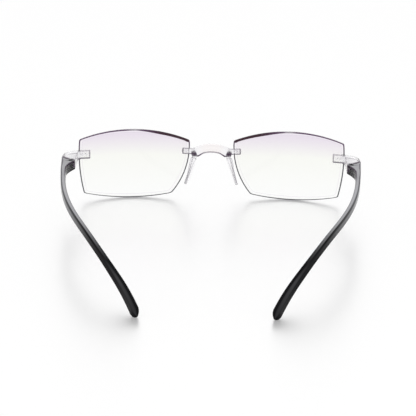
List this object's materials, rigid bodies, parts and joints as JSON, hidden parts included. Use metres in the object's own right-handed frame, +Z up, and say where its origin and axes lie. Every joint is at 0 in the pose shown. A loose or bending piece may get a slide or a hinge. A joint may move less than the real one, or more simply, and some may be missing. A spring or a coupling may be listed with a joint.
{
  "type": "rimless eyeglasses",
  "caption": "Rimless eyeglasses with tinted lenses, clear bridge, nose pads and end pieces, and curved smoky arms that fold on screwed hinges.",
  "frame": {"origin": "on the ground under the middle of the open pair, which stands on its lenses and arm tips", "axes": "+X to the wearer's right, +Y the way the wearer looks, +Z up"},
  "size_m": [0.1418, 0.1483, 0.0336],
  "materials": {
    "tinted_lens": "gloss",
    "clear_plastic": "gloss",
    "smoke_plastic": "gloss",
    "screw_steel": "satin"
  },
  "bodies": {
    "front": {"left_lens": "tinted_lens", "right_lens": "tinted_lens", "bridge": "clear_plastic", "left_nose_pad": "clear_plastic", "right_nose_pad": "clear_plastic", "left_end_piece": "clear_plastic", "right_end_piece": "clear_plastic", "left_bridge_rivets": "clear_plastic", "right_bridge_rivets": "clear_plastic", "left_end_rivets": "clear_plastic", "right_end_rivets": "clear_plastic", "left_bridge_sleeves": "clear_plastic", "right_bridge_sleeves": "clear_plastic", "left_end_sleeves": "clear_plastic", "right_end_sleeves": "clear_plastic"},
    "left_arm": {"left_temple": "smoke_plastic", "left_hinge_screw": "screw_steel"},
    "right_arm": {"right_temple": "smoke_plastic", "right_hinge_screw": "screw_steel"}
  },
  "joints": [
    {"name": "left_temple_fold", "type": "hinge", "parent": "front", "child": "left_arm", "pos_m": [-0.06611, 0.04853, 0.0226], "axis": [0, 0, 1], "range_deg": [0, 75]},
    {"name": "right_temple_fold", "type": "hinge", "parent": "front", "child": "right_arm", "pos_m": [0.06611, 0.04853, 0.0226], "axis": [0, 0, -1], "range_deg": [0, 70]}
  ]
}
